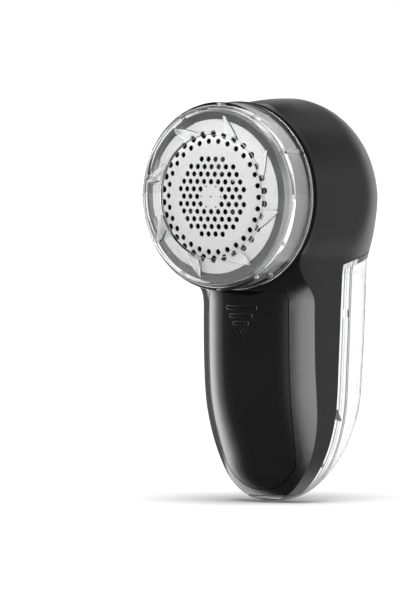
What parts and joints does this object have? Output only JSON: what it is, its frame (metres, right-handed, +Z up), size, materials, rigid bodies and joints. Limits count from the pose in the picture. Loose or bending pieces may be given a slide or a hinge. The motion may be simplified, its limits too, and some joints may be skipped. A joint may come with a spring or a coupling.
{
  "type": "fabric shaver",
  "caption": "Hand-held lint remover: round perforated foil head in a clear guard, glossy black handle with a battery door, and a clear lint box along the back of the grip.",
  "frame": {"origin": "centre of the bounding box in plan, at the height of the handle's lower tip", "axes": "+Z up along the handle to the head, -Y the way the shaving foil faces, X across"},
  "size_m": [0.0676, 0.0807, 0.145],
  "materials": {
    "clear_guard": "gloss",
    "ring_plastic": "satin",
    "foil_steel": "satin",
    "retainer_plastic": "matte",
    "seal_rubber": "matte",
    "clear_rotor": "gloss",
    "blade_steel": "satin",
    "coupler_plastic": "satin",
    "shaft_steel": "gloss",
    "armature_iron": "satin",
    "motor_steel": "satin",
    "magnet_ferrite": "matte",
    "endcap_plastic": "matte",
    "contact_brass": "satin",
    "bracket_plastic": "matte",
    "screw_steel": "satin",
    "chamber_plastic": "satin",
    "black_gloss": "gloss",
    "clear_box": "gloss",
    "tray_plastic": "matte",
    "cell_jacket": "satin",
    "spring_steel": "gloss",
    "knob_plastic": "satin",
    "switch_plastic": "matte",
    "red_lead": "satin",
    "black_lead": "satin"
  },
  "bodies": {
    "housing": {"neck_seal": "seal_rubber", "motor_can": "motor_steel", "motor_magnet_left": "magnet_ferrite", "motor_magnet_right": "magnet_ferrite", "motor_endcap": "endcap_plastic", "motor_terminal_left": "contact_brass", "motor_terminal_right": "contact_brass", "motor_bracket": "bracket_plastic", "motor_screw_left": "screw_steel", "motor_screw_right": "screw_steel", "fan_chamber": "chamber_plastic", "front_shell": "black_gloss", "rear_shell": "black_gloss", "shell_screw_lower": "screw_steel", "shell_screw_left": "screw_steel", "shell_screw_right": "screw_steel", "battery_tray": "tray_plastic", "battery_left": "cell_jacket", "battery_right": "cell_jacket", "contact_bridge": "spring_steel", "contact_spring_lower": "spring_steel", "contact_plate_left": "spring_steel", "contact_plate_right": "spring_steel", "switch_body": "switch_plastic", "lead_battery_switch": "red_lead", "lead_battery_motor": "black_lead", "lead_switch_motor": "red_lead"},
    "rotor": {"rotor_carrier": "clear_rotor", "cutter_blade_1": "blade_steel", "cutter_blade_2": "blade_steel", "cutter_blade_3": "blade_steel", "drive_coupler": "coupler_plastic", "motor_shaft": "shaft_steel", "motor_armature": "armature_iron"},
    "foil_head": {"foil_ring": "ring_plastic", "foil_mesh": "foil_steel", "foil_retainer": "retainer_plastic"},
    "guard": {"guard_cap": "clear_guard"},
    "battery_door": {"battery_cover": "black_gloss"},
    "lint_bin": {"lint_box": "clear_box"},
    "power_knob": {"switch_knob": "knob_plastic"}
  },
  "joints": [
    {"name": "rotor_spin", "type": "hinge", "parent": "housing", "child": "rotor", "pos_m": [0, 0, 0.1106], "axis": [0, 1, 0], "continuous": true},
    {"name": "foil_twist", "type": "hinge", "parent": "housing", "child": "foil_head", "pos_m": [0, 0, 0.1106], "axis": [0, 1, 0], "range_deg": [0, 41]},
    {"name": "guard_pull", "type": "slide", "parent": "foil_head", "child": "guard", "axis": [0, -1, 0], "range_m": [0, 0.018]},
    {"name": "battery_cover_slide", "type": "slide", "parent": "housing", "child": "battery_door", "axis": [0, -0.7071, -0.7071], "range_m": [0, 0.02]},
    {"name": "lint_box_pull", "type": "slide", "parent": "housing", "child": "lint_bin", "axis": [0, 1, 0], "range_m": [0, 0.036]},
    {"name": "power_switch_slide", "type": "slide", "parent": "housing", "child": "power_knob", "axis": [0, 0, 1], "range_m": [0, 0.005]}
  ]
}
